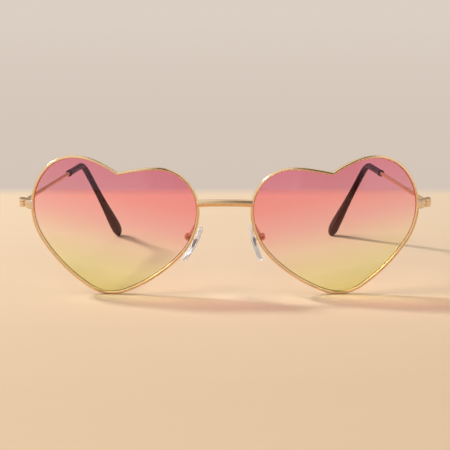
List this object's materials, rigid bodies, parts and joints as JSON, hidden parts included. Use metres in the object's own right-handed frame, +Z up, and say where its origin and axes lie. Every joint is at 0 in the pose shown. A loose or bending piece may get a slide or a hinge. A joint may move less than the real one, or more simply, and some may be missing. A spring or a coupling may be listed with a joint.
{
  "type": "heart shaped sunglasses",
  "caption": "Wire-framed sunglasses with heart shaped graded tint lenses, an arched bridge, rocking nose pads and folding temples with plastic ear tips.",
  "frame": {"origin": "on the table, under the middle of the box around the open glasses", "axes": "+X to the wearer's left, +Y to the back of the head, +Z up; the lenses face -Y"},
  "size_m": [0.1472, 0.1226, 0.0498],
  "materials": {
    "gold_metal": "polished gold plating",
    "lens_tint": "clear tinted plastic, rose above and yellow below",
    "dark_tip": "smooth dark brown plastic",
    "clear_pad": "clear soft plastic",
    "screw_metal": "plain plated metal"
  },
  "bodies": {
    "front": {"bridge": "gold_metal", "left_rim": "gold_metal", "left_lens": "lens_tint", "left_end_piece": "gold_metal", "left_rim_lock_upper": "gold_metal", "left_rim_lock_lower": "gold_metal", "left_rim_screw": "screw_metal", "left_hinge_front": "gold_metal", "left_hinge_screw": "screw_metal", "left_pad_arm": "gold_metal", "left_pad_box": "gold_metal", "left_pad_screw": "screw_metal", "right_rim": "gold_metal", "right_lens": "lens_tint", "right_end_piece": "gold_metal", "right_rim_lock_upper": "gold_metal", "right_rim_lock_lower": "gold_metal", "right_rim_screw": "screw_metal", "right_hinge_front": "gold_metal", "right_hinge_screw": "screw_metal", "right_pad_arm": "gold_metal", "right_pad_box": "gold_metal", "right_pad_screw": "screw_metal"},
    "left_temple": {"left_temple_hinge": "gold_metal", "left_temple_wire": "gold_metal", "left_temple_tip": "dark_tip"},
    "left_pad": {"left_nose_pad": "clear_pad", "left_pad_core": "screw_metal"},
    "right_temple": {"right_temple_hinge": "gold_metal", "right_temple_wire": "gold_metal", "right_temple_tip": "dark_tip"},
    "right_pad": {"right_nose_pad": "clear_pad", "right_pad_core": "screw_metal"}
  },
  "joints": [
    {"name": "left_temple_fold", "type": "hinge", "parent": "front", "child": "left_temple", "pos_m": [0.07227, -0.05372, 0.03223], "axis": [0, 0, 1], "range_deg": [0, 75]},
    {"name": "right_temple_fold", "type": "hinge", "parent": "front", "child": "right_temple", "pos_m": [-0.07227, -0.05372, 0.03223], "axis": [0, 0, -1], "range_deg": [0, 65]},
    {"name": "left_pad_rock", "type": "hinge", "parent": "front", "child": "left_pad", "pos_m": [0.0132, -0.05501, 0.02005], "axis": [0, -1, 0], "range_deg": [-1, 14.2]},
    {"name": "right_pad_rock", "type": "hinge", "parent": "front", "child": "right_pad", "pos_m": [-0.0132, -0.05501, 0.02005], "axis": [0, 1, 0], "range_deg": [-13.4, 1.8]}
  ]
}
